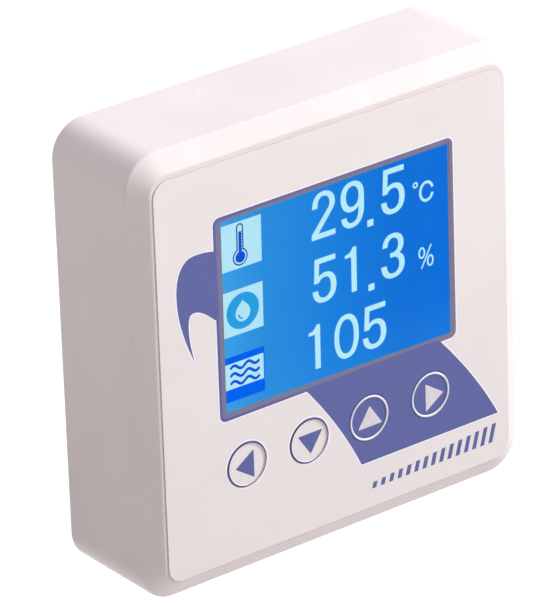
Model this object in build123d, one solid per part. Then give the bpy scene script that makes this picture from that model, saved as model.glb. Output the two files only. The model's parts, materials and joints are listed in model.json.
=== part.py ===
from build123d import *
import os

# Air quality monitor that clips to a wall plate.
# Frame, in millimetres: origin at the middle of the wall plate's rear face, +X to the right of
# someone facing the front, +Y into the wall, +Z up. The front of the housing faces -Y.
# A depth is a y value, so it is 0 at the wall and negative towards the room.

# ---- driving dimensions: housing ----
WIDTH = 120.0            # width and height of the square housing
RIM_FACE = -33.4         # flat rim round the printed sheet
SLOPE_END = -29.9        # the sloping border runs back to here
FACE_HALF = 55.1         # half width of the flat front, inside the sloping border
FACE_CORNER_R = 5.2
CORNER_R = 9.0           # corners of the housing seen from the front
FRONT_FOLD_R = 1.0       # softened fold between the rim and the sloping border
SIDE_FOLD_R = 0.6        # softened fold between the sloping border and the sides
RIM_GAP = 0.4            # the rear rim of the housing stands off the wall
WALL = 2.4
WALL_INSIDE = -31.4      # rear of the front wall
HOLLOW_HALF = 54.3       # half width of the inside just behind the front wall
HOLLOW_CORNER_R = 4.6
HOLLOW_SLOPE_END = -28.4
COVER_SEAT = -9.0        # depth at which the rear cover meets its screw posts
COVER_T = 2.0
THROUGH = 1.0            # cutting tools stand proud by this much

# ---- driving dimensions: printed front sheet and window ----
SHEET_FACE = -33.7       # the sheet stands proud of the rim
SHEET_REAR = -33.15      # floor of its shallow recess
SHEET_W = 108.6
SHEET_H = 108.2
SHEET_Z = -0.5           # the rim is wider above the sheet than below it
SHEET_CORNER_R = 4.2
RECESS_PLAY = 0.05       # gap round the sheet
DISPLAY_X = 0.7          # middle of the picture area
DISPLAY_Z = 11.9
DISPLAY_W = 70.08        # picture area of a 3.5 inch 4:3 panel
DISPLAY_H = 52.56
WINDOW_MARGIN = 1.0      # the window beyond the picture area; its edge is printed over
WINDOW_CORNER_R = 0.4

# ---- driving dimensions: display module ----
PANEL_FACE = -33.1
PANEL_T = 3.4
PANEL_SIDE = 3.3         # the module beyond the picture area, at each side
PANEL_TOP = 2.6
PANEL_BOTTOM = 6.8
PANEL_PLAY = 0.25        # the module in its opening in the front wall
GLASS_T = 1.6
GLASS_PLAY = 0.1
TRAY_T = 0.25            # sheet steel of the tray
TRAY_CORNER_R = 0.6
TRAY_MARGIN = 1.2        # the tray's mouth beyond the picture area
RIBBON_W = 18.0
RIBBON_T = 0.3
RIBBON_TAIL = -28.6      # depth of the ribbon's rear face where it enters its connector
RIBBON_Z = (-6.0, 8.0, 12.0)        # start on the display, fold, end in the connector
CONNECTOR_W = 22.0
CONNECTOR_FRONT = -29.3
CONNECTOR_Z = (11.0, 16.0)
CONNECTOR_THROAT_W = 18.4
CONNECTOR_THROAT = (-28.95, -28.55)
PAD_Z = (-12.0, 32.0)    # foam strips between the display and the board
PAD_W = 62.0
PAD_H = 6.0

# ---- driving dimensions: keys ----
KEY_X = {"left": -29.3, "down": -9.75, "up": 9.4, "right": 29.2}
KEY_Z = -29.4
KEY_R = 6.15
KEY_GAP = 0.2            # key in its hole, all round
KEY_RING_W = 0.65        # raised ring along the key's edge
KEY_RING_H = 0.35
KEY_RING_EDGE_R = 0.2
KEY_FACE = -33.6         # depth of the key's face inside its ring
KEY_ROOF_T = 1.4
KEY_SKIRT_T = 1.15
KEY_FLANGE_R = 7.0
KEY_FLANGE_T = 0.7
KEY_REST_GAP = 0.05      # flange to front wall with the key out
PLUNGER_R = 1.5
SWITCH_SIDE = 6.0
SWITCH_H = 3.5
SWITCH_EDGE_R = 0.5
SWITCH_WELL = 1.4
STEM_R = 1.7
STEM_GAP = 0.05
STEM_FACE = -31.8
STEM_LENGTH = 1.6

# ---- driving dimensions: main board and its screws ----
BOARD_FRONT = -27.5
BOARD_T = 1.6
BOARD_HALF = 56.0
BOARD_NOTCH = 44.0       # the corners are cut back to this, clear of the cover posts
BOARD_SCREW_X = 51.5
BOARD_SCREW_Z = (-12.0, 38.0)
BOARD_HOLE_R = 1.6
BOARD_POST_R = 3.0
BOARD_PILOT_END = -31.0
BOARD_SCREW_LENGTH = 4.4
COVER_SCREW = 50.5       # cover screws, out from the middle each way
COVER_HOLE_R = 1.6
COVER_SINK = 0.8         # screw heads sit this deep in the cover
COVER_SCREW_LENGTH = 10.0
COVER_PILOT = 12.0
POST_R = 3.5
POST_ROOT = -31.6        # posts are rooted in the front wall
WEB_T = 1.4              # ribs from each cover post to the walls
WEB_LENGTH = 7.0
WEB_MIDDLE = 53.5
PILOT_R = 1.25
SHANK_R = 1.2
SHANK_TIP = 0.5
SCREW_HEAD_R = 2.5
SCREW_HEAD_H = 1.6
SCREW_HEAD_EDGE_R = 0.625
CROSS = (2.6, 0.6)       # length and width of the cross recess
CROSS_DEPTH = 0.9

# ---- driving dimensions: components on the rear of the board ----
# x and z of the middle, width, height, how tall it stands, chamfer of the top edge
CHIPS = {
    "processor_chip": (-28.0, 16.0, 10.0, 10.0, 1.4, 0.3),
    "transceiver_chip": (22.0, 5.0, 5.0, 6.0, 1.7, 0.3),
    "crystal": (-28.0, 28.0, 5.0, 3.2, 1.2, 0.3),
    "power_inductor": (27.0, 20.0, 7.3, 7.3, 4.5, 0.9),
}
CAN_X = 40.0             # supply capacitors
CAN_Z = (2.0, 14.0)
CAN_R = 4.0
CAN_BASE = 8.3
CAN_BASE_T = 1.4
CAN_TALL = 10.2
CAN_EDGE_R = 0.8
GAS_X = -14.0            # gas sensor
GAS_Z = -38.0
GAS_R = 4.6
GAS_RIM_R = 5.1
GAS_RIM_T = 0.8
GAS_MOUTH_R = 2.6
GAS_MOUTH_DEPTH = 0.5
GAS_TALL = 6.4

# ---- driving dimensions: terminal block ----
TERMINALS = 4
TERMINAL_PITCH = 5.08
TERMINAL_Z = (6.0, 15.0)
TERMINAL_TALL = 10.2
TERMINAL_END = 0.3       # plastic beyond the first and last pitch
TERMINAL_SLOPE = 2.0
TERMINAL_SCREW_Z = 11.0
WIRE_MOUTH_W = 3.6
WIRE_MOUTH = (1.2, 5.2)  # heights above the board
WIRE_MOUTH_END = 13.0
WELL_R = 1.95
WELL_FLOOR = 5.0
CAGE_W = 3.4
CAGE = (1.3, 4.9)
CAGE_T = 0.4
CAGE_Z = (8.0, 12.9)
CLAMP_SCREW_R = 1.8
CLAMP_SCREW = (5.1, 8.2)
CLAMP_SLOT = (0.6, 0.8)  # width and depth of the driver slot

# ---- driving dimensions: temperature and humidity sensor on its own board ----
CLIMATE_X = -32.0
CLIMATE_FRONT = -21.6
CLIMATE_T = 1.0
CLIMATE_W = 15.0
CLIMATE_Z = (-56.0, -42.0)
CLIMATE_SLOT_X = 3.6     # slots that keep the board's heat from the sensor
CLIMATE_SLOT_W = 0.9
CLIMATE_SLOT_END = -49.5
PIN_COUNT = 4
PIN_PITCH = 2.54
PIN_R = 0.35
PIN_HOLE_R = 0.5
PIN_Z = -44.0
PIN_BAR = (10.4, 2.4)    # width and height of the bar that holds the pins
PIN_BAR_GAP = 0.6
PIN_PROUD = 0.8
HUMIDITY_Z = -53.0
HUMIDITY_SIDE = 3.6
HUMIDITY_T = 1.6
HUMIDITY_EDGE_R = 0.6
HUMIDITY_MOUTH_R = 0.9
HUMIDITY_MOUTH_DEPTH = 0.6

# ---- driving dimensions: dust sensor ----
DUST_X = (-4.0, 44.0)
DUST_Z = (-56.4, -19.4)
DUST_FRONT = -25.4
DUST_T = 12.0
DUST_WALL = 1.0
DUST_CORNER_R = 1.5
DUST_INLET = (-1.5, 12.5)
DUST_OUTLET = (21.5, 42.5)
DUST_PORT_DEPTHS = (-22.6, -16.0)
DIVIDER_X = 19.5
DIVIDER_TOP = -30.0
DIVIDER_LIFT = 2.2
LID_BORDER = 3.0
LID_GROOVE = 0.3
DUST_BOARD_PLAY = 0.3
DUST_BOARD_T = 1.0
LASER_X = (-1.5, 7.5)
LASER_Z = -26.5
LASER_DEPTH = -19.4
LASER_R = 3.0
LENS_R = 1.8
LENS_T = 0.6
DETECTOR_X = 12.5
DETECTOR_SIDE = 5.0
DETECTOR_T = 1.8
DETECTOR_LENS_R = 1.6
DETECTOR_LENS_T = 0.7
FAN_X = 31.5
FAN_Z = -38.0
FAN_R = 8.6
FAN_HUB_R = 4.4
FAN_BLADES = 9
BLADE_T = 0.7
BLADE_SWEEP = 1.1        # each blade passes this far beside the axis
BLADE_ROOT = 0.8         # length of blade inside the hub
BLADE_STEP = 0.6         # blades end this far in front of the hub's rear
HUB_ROOF_T = 0.8
HUB_EDGE_R = 0.5
STATOR_R = 4.2
STATOR_T = 1.4
STATOR_GAP = 0.5
SPINDLE_R = 0.75
SPINDLE_GAP = 0.04
FAN_LID_GAP = 0.9
SPINDLE_END = 1.2        # the spindle ends this far inside the hub's rear
SEAL_INSET = 0.4
SEAL_DEPTHS = (-24.8, -14.2)
SEAL_MOUTHS = ((-2.1, 12.7), (20.9, 42.7))
TAPE_INSET = (2.0, 3.0)
PAD_X = 20.0             # foam block between the dust sensor and the rear cover
PAD_MID_Z = -31.0
PAD_SIZE = (26.0, 14.0)

# ---- driving dimensions: vents in the bottom wall ----
VENT_W = 2.0
VENT_PITCH = 4.0
VENT_DEPTHS = (-23.5, -15.5)
VENT_GROUPS = (-42.0, -10.0, 22.0)        # first slot of each group
VENTS_IN_GROUP = 6
RELEASE_W = 12.0         # notch for a screwdriver that levers the housing off the plate
RELEASE_DEPTH = 3.0

# ---- driving dimensions: rear cover and wall plate ----
COVER_PLAY = 0.25
COVER_EDGE = 0.5         # chamfer
HEAD_PLAY = 0.3
LIP_T = 1.4              # lip inside the shell
LIP_GAP = 0.4
LIP_DEPTH = 2.0
LIP_CLEAR = 4.0          # the lip stops this far from each screw post
WIRING_W = 30.0          # window over the terminal block
WIRING_H = 32.0
WIRING_Z = 2.0
WIRING_R = 2.5
PLATE_HALF = 47.0
PLATE_T = 2.2
PLATE_CORNER_R = 5.0
PLATE_EDGE = 0.6         # chamfer
CABLE_HOLE_W = 34.0
CABLE_HOLE_H = 26.0
CABLE_HOLE_R = 3.0
BOX_SCREW_PITCH = 60.0   # slots for the two screws of a wall box
SLOT_LENGTH = 9.0
SLOT_R = 2.1
WALL_SCREW_PITCH = 76.0  # round holes for screws straight into the wall
WALL_SCREW_R = 2.2
ARM_X = 22.0
ARM_Z = 44.0
ARM_W = 8.0
ARM_T = 1.8
ARM_TIP = -12.0
ARM_EDGE = 0.5           # chamfer
ARM_PLAY = 0.5
ARROW_W = 8.0            # recessed arrow that marks the plate's upper side
ARROW_Z = (21.0, 27.0, 33.0)        # foot, shoulder and point
ARROW_STEM_W = 2.4
ARROW_SINK = 0.5

# ---- values worked out from them ----
INNER_HALF = WIDTH / 2 - WALL
PANEL_REAR = PANEL_FACE + PANEL_T
BOARD_REAR = BOARD_FRONT + BOARD_T
DUST_REAR = DUST_FRONT + DUST_T
COVER_REAR = COVER_SEAT + COVER_T
CLIMATE_REAR = CLIMATE_FRONT + CLIMATE_T
FAN_SEAT = DUST_FRONT + DUST_WALL + DUST_BOARD_T        # rear of the dust sensor's own board
FAN_DEPTHS = (FAN_SEAT + STATOR_T + STATOR_GAP, DUST_REAR - DUST_WALL - FAN_LID_GAP)


# ---- helpers ----
def slab(outline, front, rear):
    """Solid from a flat outline drawn in X and Z, between two depths."""
    return extrude(Plane.XZ.offset(-rear) * outline, amount=rear - front)


def rounded(half, radius):
    """Square outline with rounded corners."""
    return RectangleRounded(2 * half, 2 * half, radius)


def rod(radius, front, rear, x=0.0, z=0.0):
    """Cylinder along the depth."""
    return slab(Pos(x, z) * Circle(radius), front, rear)


def block(x, depth, z):
    """Box between two limits each way."""
    middle = [(low + high) / 2 for low, high in (x, depth, z)]
    sides = [abs(high - low) for low, high in (x, depth, z)]
    return Pos(*middle) * Box(*sides)


def around(middle, width):
    """Limits of a length centred on a place."""
    return (middle - width / 2, middle + width / 2)


def inset(limits, amount):
    """Limits brought in at both ends."""
    return (limits[0] + amount, limits[1] - amount)


def off_board(heights):
    """Depths of two heights above the rear of the main board."""
    return (BOARD_REAR + heights[0], BOARD_REAR + heights[1])


def tapered(half_front, r_front, front, half_rear, r_rear, rear):
    """Straight-sided solid between two rounded squares at two depths."""
    ends = [
        Plane.XZ.offset(-front) * rounded(half_front, r_front),
        Plane.XZ.offset(-rear) * rounded(half_rear, r_rear),
    ]
    return loft(ends, ruled=True)


def four_corners(x, z=None):
    """The four places at plus and minus x and z."""
    z = x if z is None else z
    return [(sx * x, sz * z) for sx in (-1, 1) for sz in (-1, 1)]


def board_screw_places():
    return [(side * BOARD_SCREW_X, z) for z in BOARD_SCREW_Z for side in (-1, 1)]


def pan_screw(x, z, seat, length):
    """Cross-head screw driven from the rear; its head stands behind the depth `seat`."""
    head = rod(SCREW_HEAD_R, seat, seat + SCREW_HEAD_H, x, z)
    head = fillet(head.edges().sort_by(Axis.Y)[-1], SCREW_HEAD_EDGE_R)
    shank = rod(SHANK_R, seat - length, seat, x, z)
    screw = head + chamfer(shank.edges().sort_by(Axis.Y)[0], SHANK_TIP)
    recess = (seat + SCREW_HEAD_H - CROSS_DEPTH, seat + SCREW_HEAD_H + THROUGH)
    for width, height in (CROSS, CROSS[::-1]):
        screw = screw - block(around(x, width), recess, around(z, height))
    return screw


# ---- housing ----
def front_housing():
    """One deep shell: front wall, four sides, sloping border, posts, key holes and vents."""
    shell = outer_shell() - shell_hollow()
    shell = shell - slab(sheet_outline(RECESS_PLAY), RIM_FACE - THROUGH, SHEET_REAR)
    shell = shell - panel_block(PANEL_PLAY, RIM_FACE - THROUGH, WALL_INSIDE + THROUGH)
    for x in KEY_X.values():
        shell = shell - rod(KEY_R + KEY_GAP, RIM_FACE - THROUGH, WALL_INSIDE + THROUGH, x, KEY_Z)

    web_depths = (POST_ROOT, COVER_SEAT - LIP_DEPTH)
    for right, up in four_corners(1):
        x, z = right * COVER_SCREW, up * COVER_SCREW
        web_x = block(around(right * WEB_MIDDLE, WEB_LENGTH), web_depths, around(z, WEB_T))
        web_z = block(around(x, WEB_T), web_depths, around(up * WEB_MIDDLE, WEB_LENGTH))
        shell = shell + rod(POST_R, POST_ROOT, COVER_SEAT, x, z) + web_x + web_z
        shell = shell - rod(PILOT_R, COVER_SEAT - COVER_PILOT, COVER_SEAT + THROUGH, x, z)
    for x, z in board_screw_places():
        shell = shell + rod(BOARD_POST_R, POST_ROOT, BOARD_FRONT, x, z)
        shell = shell - rod(PILOT_R, BOARD_PILOT_END, BOARD_FRONT + THROUGH, x, z)

    for first in VENT_GROUPS:
        for i in range(VENTS_IN_GROUP):
            shell = shell - vent(first + i * VENT_PITCH)
    notch_z = (-WIDTH / 2 - THROUGH, -INNER_HALF + THROUGH)
    return shell - block(around(0, RELEASE_W), (-RELEASE_DEPTH, 0), notch_z)


def outer_shell():
    """Outside of the housing, with its sloping border and softened folds."""
    border = tapered(FACE_HALF, FACE_CORNER_R, RIM_FACE, WIDTH / 2, CORNER_R, SLOPE_END)
    shell = border + slab(rounded(WIDTH / 2, CORNER_R), SLOPE_END, -RIM_GAP)
    for depth, radius in ((RIM_FACE, FRONT_FOLD_R), (SLOPE_END, SIDE_FOLD_R)):
        folds = [e for e in shell.edges() if abs(e.center().Y - depth) < 0.01]
        shell = fillet(folds, radius)
    return shell


def shell_hollow():
    """Inside of the housing, sloping in step with the border."""
    inner_r = CORNER_R - WALL
    front = (HOLLOW_HALF, HOLLOW_CORNER_R, WALL_INSIDE)
    hollow = tapered(*front, INNER_HALF, inner_r, HOLLOW_SLOPE_END)
    return hollow + slab(rounded(INNER_HALF, inner_r), HOLLOW_SLOPE_END, 0)


def vent(x):
    """Round-ended slot through the bottom wall, long in depth."""
    front, rear = VENT_DEPTHS
    slot = SlotOverall(rear - front, VENT_W, rotation=90)
    flat = Plane.XY.offset(-WIDTH / 2 - THROUGH) * Pos(x, (front + rear) / 2) * slot
    return extrude(flat, amount=WALL + 2 * THROUGH)


def panel_block(grow, front, rear):
    """The display module's outline, grown all round."""
    left = DISPLAY_X - DISPLAY_W / 2 - PANEL_SIDE - grow
    right = DISPLAY_X + DISPLAY_W / 2 + PANEL_SIDE + grow
    low = DISPLAY_Z - DISPLAY_H / 2 - PANEL_BOTTOM - grow
    high = DISPLAY_Z + DISPLAY_H / 2 + PANEL_TOP + grow
    return block((left, right), (front, rear), (low, high))


def sheet_outline(grow=0.0):
    outline = RectangleRounded(SHEET_W + 2 * grow, SHEET_H + 2 * grow, SHEET_CORNER_R + grow)
    return Pos(0, SHEET_Z) * outline


def window_outline():
    width = DISPLAY_W + 2 * WINDOW_MARGIN
    height = DISPLAY_H + 2 * WINDOW_MARGIN
    return Pos(DISPLAY_X, DISPLAY_Z) * RectangleRounded(width, height, WINDOW_CORNER_R)


def graphic_overlay():
    """Printed sheet glued in the recess of the front wall, with the window and key holes cut out."""
    sheet = slab(sheet_outline(), SHEET_FACE, SHEET_REAR)
    cut = (SHEET_FACE - THROUGH, SHEET_REAR + THROUGH)
    sheet = sheet - slab(window_outline(), *cut)
    for x in KEY_X.values():
        sheet = sheet - rod(KEY_R + KEY_GAP, *cut, x, KEY_Z)
    return sheet


def display_window():
    return slab(window_outline(), SHEET_FACE, SHEET_REAR)


# ---- display module ----
def lcd_frame():
    """Pressed steel tray round the glass and the backlight, open at the picture and behind."""
    tray = panel_block(0, PANEL_FACE, PANEL_REAR)
    tray = fillet(tray.edges().filter_by(Axis.Y), TRAY_CORNER_R)
    tray = tray - panel_block(-TRAY_T, PANEL_FACE + TRAY_T, PANEL_REAR + THROUGH)
    mouth = Rectangle(DISPLAY_W + 2 * TRAY_MARGIN, DISPLAY_H + 2 * TRAY_MARGIN)
    return tray - slab(Pos(DISPLAY_X, DISPLAY_Z) * mouth, PANEL_FACE - THROUGH, PANEL_FACE + THROUGH)


def lcd_glass():
    front = PANEL_FACE + TRAY_T
    return panel_block(-TRAY_T - GLASS_PLAY, front, front + GLASS_T)


def lcd_backlight():
    front = PANEL_FACE + TRAY_T + GLASS_T
    return panel_block(-TRAY_T - GLASS_PLAY, front, PANEL_REAR)


def lcd_pads():
    """Two foam strips between the display and the board."""
    strips = Part()
    for z in PAD_Z:
        strips = strips + block(around(DISPLAY_X, PAD_W), (PANEL_REAR, BOARD_FRONT), around(z, PAD_H))
    return strips


def lcd_ribbon():
    """Flat cable from the rear of the display, folded back into its board connector."""
    start, fold, end = RIBBON_Z
    width = around(DISPLAY_X, RIBBON_W)
    flat = block(width, (PANEL_REAR, PANEL_REAR + RIBBON_T), (start, fold))
    drop = block(width, (PANEL_REAR, RIBBON_TAIL), (fold, fold + RIBBON_T))
    tail = block(width, (RIBBON_TAIL - RIBBON_T, RIBBON_TAIL), (fold, end))
    return flat + drop + tail


def ribbon_connector():
    body = block(around(DISPLAY_X, CONNECTOR_W), (CONNECTOR_FRONT, BOARD_FRONT), CONNECTOR_Z)
    throat_z = (CONNECTOR_Z[0] - THROUGH, RIBBON_Z[2] + 1)
    return body - block(around(DISPLAY_X, CONNECTOR_THROAT_W), CONNECTOR_THROAT, throat_z)


# ---- keys ----
def key(x):
    """Cup-shaped key: raised ring at the edge, flange behind the front wall, plunger inside."""
    flange_face = WALL_INSIDE + KEY_REST_GAP
    flange_rear = flange_face + KEY_FLANGE_T
    roof = KEY_FACE + KEY_ROOF_T
    body = rod(KEY_R, KEY_FACE - KEY_RING_H, flange_rear, x, KEY_Z)
    body = fillet(body.edges().sort_by(Axis.Y)[0], KEY_RING_EDGE_R)
    body = body - rod(KEY_R - KEY_RING_W, KEY_FACE - THROUGH, KEY_FACE, x, KEY_Z)
    body = body + rod(KEY_FLANGE_R, flange_face, flange_rear, x, KEY_Z)
    body = body - rod(KEY_R - KEY_SKIRT_T, roof, flange_rear + THROUGH, x, KEY_Z)
    return body + rod(PLUNGER_R, KEY_FACE + KEY_ROOF_T / 2, STEM_FACE, x, KEY_Z)


def switch_body(x):
    """Square tactile switch with a well for its stem."""
    front = BOARD_FRONT - SWITCH_H
    body = block(around(x, SWITCH_SIDE), (front, BOARD_FRONT), around(KEY_Z, SWITCH_SIDE))
    body = fillet(body.edges().filter_by(Axis.Y), SWITCH_EDGE_R)
    return body - rod(STEM_R + STEM_GAP, front - THROUGH, front + SWITCH_WELL, x, KEY_Z)


def switch_stem(x):
    return rod(STEM_R, STEM_FACE, STEM_FACE + STEM_LENGTH, x, KEY_Z)


# ---- main board and what is soldered to it ----
def main_board():
    limits = (-BOARD_HALF, BOARD_HALF)
    cut = (BOARD_FRONT - THROUGH, BOARD_REAR + THROUGH)
    board = block(limits, (BOARD_FRONT, BOARD_REAR), limits)
    for x, z in four_corners(1):
        notch_x = sorted((x * BOARD_NOTCH, x * (BOARD_HALF + THROUGH)))
        notch_z = sorted((z * BOARD_NOTCH, z * (BOARD_HALF + THROUGH)))
        board = board - block(notch_x, cut, notch_z)
    for x, z in board_screw_places():
        board = board - rod(BOARD_HOLE_R, *cut, x, z)
    return board


def chip(x, z, width, height, tall, edge):
    """Square component standing on the rear of the board."""
    body = block(around(x, width), (BOARD_REAR, BOARD_REAR + tall), around(z, height))
    return chamfer(body.faces().sort_by(Axis.Y)[-1].edges(), edge)


def supply_capacitors():
    """Two round cans, each on a square base."""
    cans = Part()
    for z in CAN_Z:
        base_rear = BOARD_REAR + CAN_BASE_T
        base = block(around(CAN_X, CAN_BASE), (BOARD_REAR, base_rear), around(z, CAN_BASE))
        can = rod(CAN_R, base_rear, BOARD_REAR + CAN_TALL, CAN_X, z)
        cans = cans + base + fillet(can.edges().sort_by(Axis.Y)[-1], CAN_EDGE_R)
    return cans


def gas_sensor():
    """Metal can with a sunk mouth, on the rear of the board."""
    rear = BOARD_REAR + GAS_TALL
    can = rod(GAS_R, BOARD_REAR, rear, GAS_X, GAS_Z)
    rim = rod(GAS_RIM_R, BOARD_REAR, BOARD_REAR + GAS_RIM_T, GAS_X, GAS_Z)
    return can + rim - rod(GAS_MOUTH_R, rear - GAS_MOUTH_DEPTH, rear + THROUGH, GAS_X, GAS_Z)


# ---- terminal block for the supply and signal wires ----
def terminal_places():
    return [(i - (TERMINALS - 1) / 2) * TERMINAL_PITCH for i in range(TERMINALS)]


def terminal_block():
    rear = BOARD_REAR + TERMINAL_TALL
    width = TERMINALS * TERMINAL_PITCH + 2 * TERMINAL_END
    body = block(around(0, width), (BOARD_REAR, rear), TERMINAL_Z)
    slope_edge = body.edges().filter_by(Axis.X).sort_by(lambda e: e.center().Y - e.center().Z)[-1]
    body = chamfer(slope_edge, TERMINAL_SLOPE)
    mouth_z = (TERMINAL_Z[0] - THROUGH, WIRE_MOUTH_END)
    for x in terminal_places():
        mouth = block(around(x, WIRE_MOUTH_W), off_board(WIRE_MOUTH), mouth_z)
        well = rod(WELL_R, BOARD_REAR + WELL_FLOOR, rear + THROUGH, x, TERMINAL_SCREW_Z)
        body = body - mouth - well
    return body


def terminal_clamps():
    """Metal cage at the bottom of each wire mouth, open at both ends."""
    cages = Part()
    for x in terminal_places():
        outer = block(around(x, CAGE_W), off_board(CAGE), CAGE_Z)
        mouth = (around(x, CAGE_W - 2 * CAGE_T), inset(off_board(CAGE), CAGE_T))
        cages = cages + (outer - block(*mouth, inset(CAGE_Z, -THROUGH)))
    return cages


def terminal_screws():
    """Slotted clamp screws, reached from behind."""
    screws = Part()
    slot_w, slot_depth = CLAMP_SLOT
    rear = BOARD_REAR + CLAMP_SCREW[1]
    for x in terminal_places():
        screw = rod(CLAMP_SCREW_R, *off_board(CLAMP_SCREW), x, TERMINAL_SCREW_Z)
        slot_depths = (rear - slot_depth, rear + THROUGH)
        slot = block(around(x, 2 * WELL_R), slot_depths, around(TERMINAL_SCREW_Z, slot_w))
        screws = screws + (screw - slot)
    return screws


# ---- temperature and humidity sensor on its own small board ----
def pin_places():
    return [CLIMATE_X + (i - (PIN_COUNT - 1) / 2) * PIN_PITCH for i in range(PIN_COUNT)]


def climate_board():
    """Small board with a pin hole for each header pin and two slots round the sensor."""
    cut = (CLIMATE_FRONT - THROUGH, CLIMATE_REAR + THROUGH)
    board = block(around(CLIMATE_X, CLIMATE_W), (CLIMATE_FRONT, CLIMATE_REAR), CLIMATE_Z)
    for side in (-1, 1):
        slot_x = around(CLIMATE_X + side * CLIMATE_SLOT_X, CLIMATE_SLOT_W)
        board = board - block(slot_x, cut, (CLIMATE_Z[0] - THROUGH, CLIMATE_SLOT_END))
    for x in pin_places():
        board = board - rod(PIN_HOLE_R, *cut, x, PIN_Z)
    return board


def climate_pins():
    """Header pins and the bar that holds them, between the two boards."""
    bar_w, bar_h = PIN_BAR
    bar = block(around(CLIMATE_X, bar_w), (BOARD_REAR + PIN_BAR_GAP, CLIMATE_FRONT), around(PIN_Z, bar_h))
    for x in pin_places():
        bar = bar + rod(PIN_R, BOARD_REAR, CLIMATE_REAR + PIN_PROUD, x, PIN_Z)
    return bar


def humidity_sensor():
    rear = CLIMATE_REAR + HUMIDITY_T
    sides = (around(CLIMATE_X, HUMIDITY_SIDE), around(HUMIDITY_Z, HUMIDITY_SIDE))
    cap = block(sides[0], (CLIMATE_REAR, rear), sides[1])
    cap = fillet(cap.edges().filter_by(Axis.Y), HUMIDITY_EDGE_R)
    return cap - rod(HUMIDITY_MOUTH_R, rear - HUMIDITY_MOUTH_DEPTH, rear + THROUGH, CLIMATE_X, HUMIDITY_Z)


# ---- dust sensor: case, lid, board, laser, detector and fan ----
def dust_sensor_case():
    """Tray open to the rear, with a wall between the fan chamber and the light chamber."""
    case = block(DUST_X, (DUST_FRONT, DUST_REAR - DUST_WALL), DUST_Z)
    case = fillet(case.edges().filter_by(Axis.Y), DUST_CORNER_R)
    depths = (DUST_FRONT + DUST_WALL, DUST_REAR + THROUGH)
    case = case - block(inset(DUST_X, DUST_WALL), depths, inset(DUST_Z, DUST_WALL))
    divider_depths = (DUST_FRONT + DIVIDER_LIFT, DUST_REAR - DUST_WALL)
    divider_z = (DUST_Z[0] + DUST_WALL / 2, DIVIDER_TOP)
    case = case + block(around(DIVIDER_X, DUST_WALL), divider_depths, divider_z)
    port_z = (DUST_Z[0] - THROUGH, DUST_Z[0] + DUST_WALL + THROUGH)
    for opening in (DUST_INLET, DUST_OUTLET):
        case = case - block(opening, DUST_PORT_DEPTHS, port_z)
    return case


def dust_sensor_lid():
    lid = block(DUST_X, (DUST_REAR - DUST_WALL, DUST_REAR), DUST_Z)
    lid = fillet(lid.edges().filter_by(Axis.Y), DUST_CORNER_R)
    depths = (DUST_REAR - LID_GROOVE, DUST_REAR + THROUGH)
    return lid - block(inset(DUST_X, LID_BORDER), depths, inset(DUST_Z, LID_BORDER))


def dust_sensor_board():
    front = DUST_FRONT + DUST_WALL
    play = DUST_WALL + DUST_BOARD_PLAY
    return block(inset(DUST_X, play), (front, front + DUST_BOARD_T), inset(DUST_Z, play))


def laser_module():
    """Short tube lying along the light chamber, with its lens at the end."""
    tube = lying_rod(LASER_R, *LASER_X)
    return tube + lying_rod(LENS_R, LASER_X[1], LASER_X[1] + LENS_T)


def lying_rod(radius, left, right):
    """Cylinder along X on the laser's axis."""
    place = Pos((left + right) / 2, LASER_DEPTH, LASER_Z)
    return place * Rot(0, 90, 0) * Cylinder(radius, right - left)


def light_detector():
    rear = FAN_SEAT + DETECTOR_T
    body = block(around(DETECTOR_X, DETECTOR_SIDE), (FAN_SEAT, rear), around(LASER_Z, DETECTOR_SIDE))
    return body + rod(DETECTOR_LENS_R, rear, rear + DETECTOR_LENS_T, DETECTOR_X, LASER_Z)


def fan_stator():
    base = rod(STATOR_R, FAN_SEAT, FAN_SEAT + STATOR_T, FAN_X, FAN_Z)
    return base - rod(SPINDLE_R, FAN_SEAT - THROUGH, FAN_SEAT + STATOR_T + THROUGH, FAN_X, FAN_Z)


def fan_spindle():
    return rod(SPINDLE_R, FAN_SEAT, FAN_DEPTHS[1] - SPINDLE_END, FAN_X, FAN_Z)


def fan_rotor():
    """Hub with straight swept-back blades, turning on the spindle."""
    front, rear = FAN_DEPTHS
    hub = rod(FAN_HUB_R, front, rear, FAN_X, FAN_Z)
    rotor = fillet(hub.edges().sort_by(Axis.Y)[-1], HUB_EDGE_R)
    length = FAN_R - FAN_HUB_R + BLADE_ROOT
    blade = Pos(FAN_R - length / 2, BLADE_SWEEP) * Rectangle(length, BLADE_T)
    for i in range(FAN_BLADES):
        turned = Pos(FAN_X, FAN_Z) * Rot(0, 0, 360 * i / FAN_BLADES) * blade
        rotor = rotor + slab(turned, front, rear - BLADE_STEP)
    return rotor - rod(SPINDLE_R + SPINDLE_GAP, front - THROUGH, rear - HUB_ROOF_T, FAN_X, FAN_Z)


def duct_seal():
    """Foam collar between the dust sensor's two ports and the bottom wall."""
    seal = block(inset(DUST_X, SEAL_INSET), SEAL_DEPTHS, (-INNER_HALF, DUST_Z[0]))
    cut_z = (-INNER_HALF - THROUGH, DUST_Z[0] + THROUGH)
    for mouth in SEAL_MOUTHS:
        seal = seal - block(mouth, VENT_DEPTHS, cut_z)
    return seal


def sensor_tape():
    """Foam tape that holds the dust sensor on the board."""
    side, end = TAPE_INSET
    return block(inset(DUST_X, side), (BOARD_REAR, DUST_FRONT), (DUST_Z[0] + end, DUST_Z[1] - side))


def sensor_pad():
    """Foam block that the rear cover presses on the dust sensor's lid."""
    width, height = PAD_SIZE
    return block(around(PAD_X, width), (DUST_REAR - LID_GROOVE, COVER_SEAT), around(PAD_MID_Z, height))


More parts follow.
